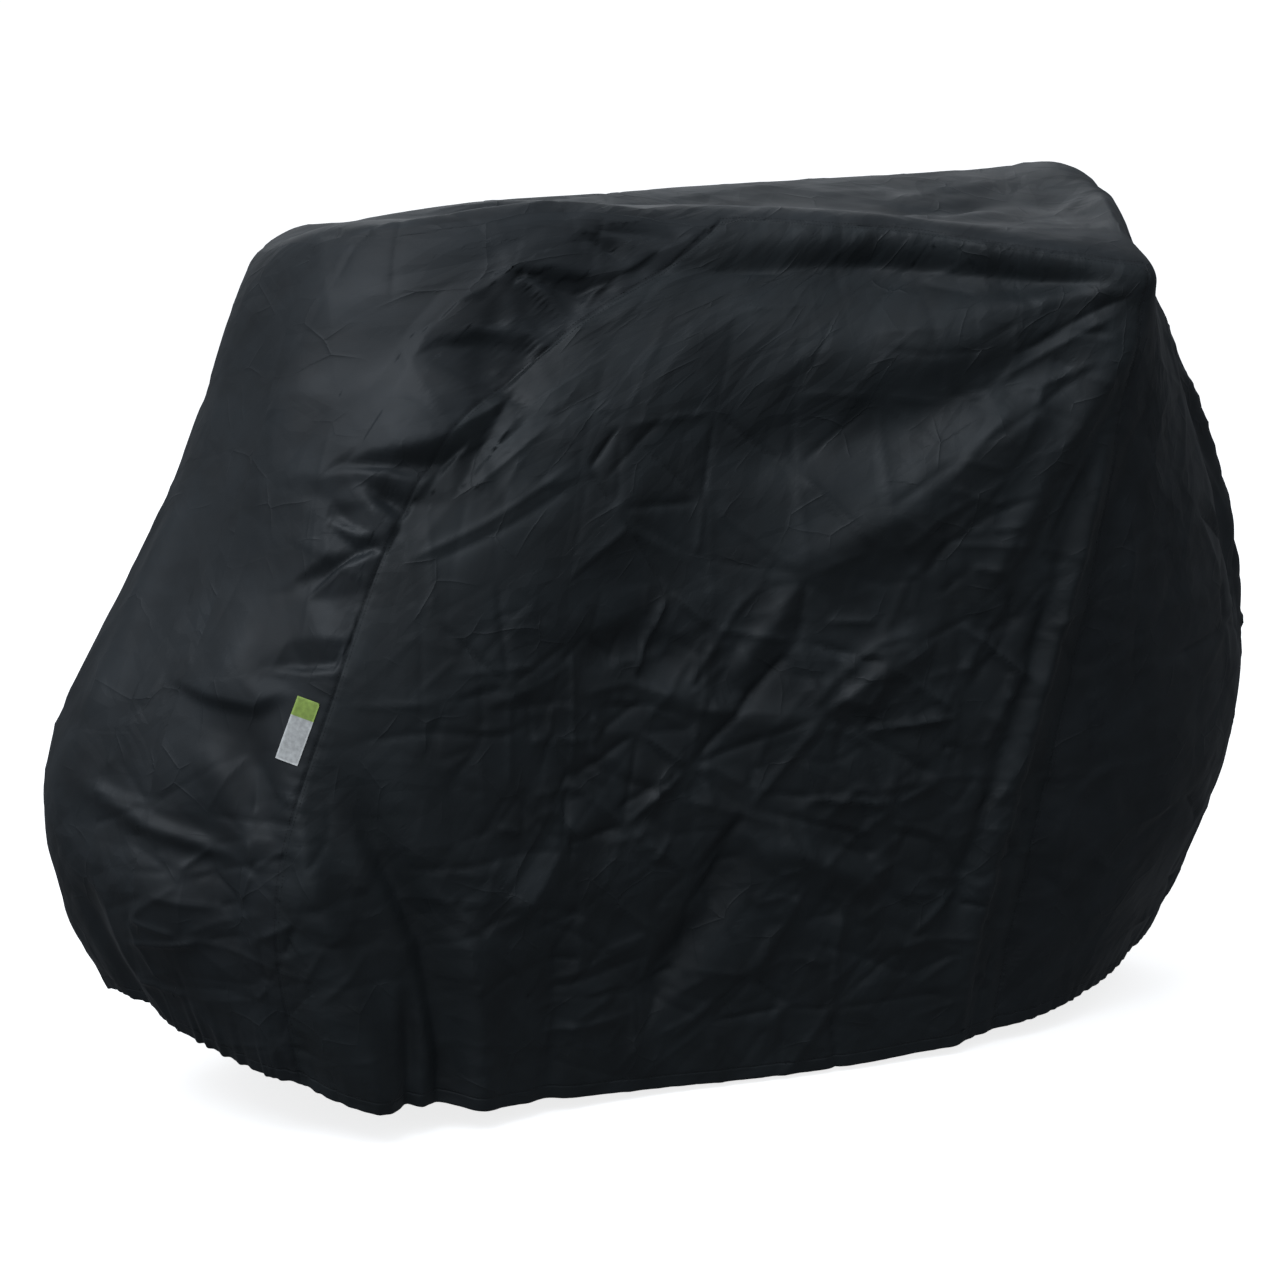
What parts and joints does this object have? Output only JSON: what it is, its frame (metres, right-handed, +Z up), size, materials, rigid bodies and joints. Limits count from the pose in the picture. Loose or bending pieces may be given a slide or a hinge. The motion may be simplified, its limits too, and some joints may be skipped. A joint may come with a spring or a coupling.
{
  "type": "bicycle cover",
  "caption": "Thin coated cloth cover as it hangs over parked bicycles, open underneath, with a long gusset between its side panels and a gathered hem.",
  "frame": {"origin": "on the ground under the middle of the cover's outline", "axes": "+X along the bicycles towards the end with the pointed corner, +Z up, -Y out of the near side that shows"},
  "size_m": [1.8074, 0.7655, 1.192],
  "materials": {
    "gusset_cloth": "thin black coated taffeta with a soft sheen",
    "side_cloth": "thin black coated taffeta with a soft sheen",
    "label_tape": "pale woven tape with a green end, plain"
  },
  "bodies": {
    "root": {"gusset": "gusset_cloth", "side_panel_near": "side_cloth", "side_panel_far": "side_cloth", "seam_label": "label_tape"}
  },
  "joints": []
}
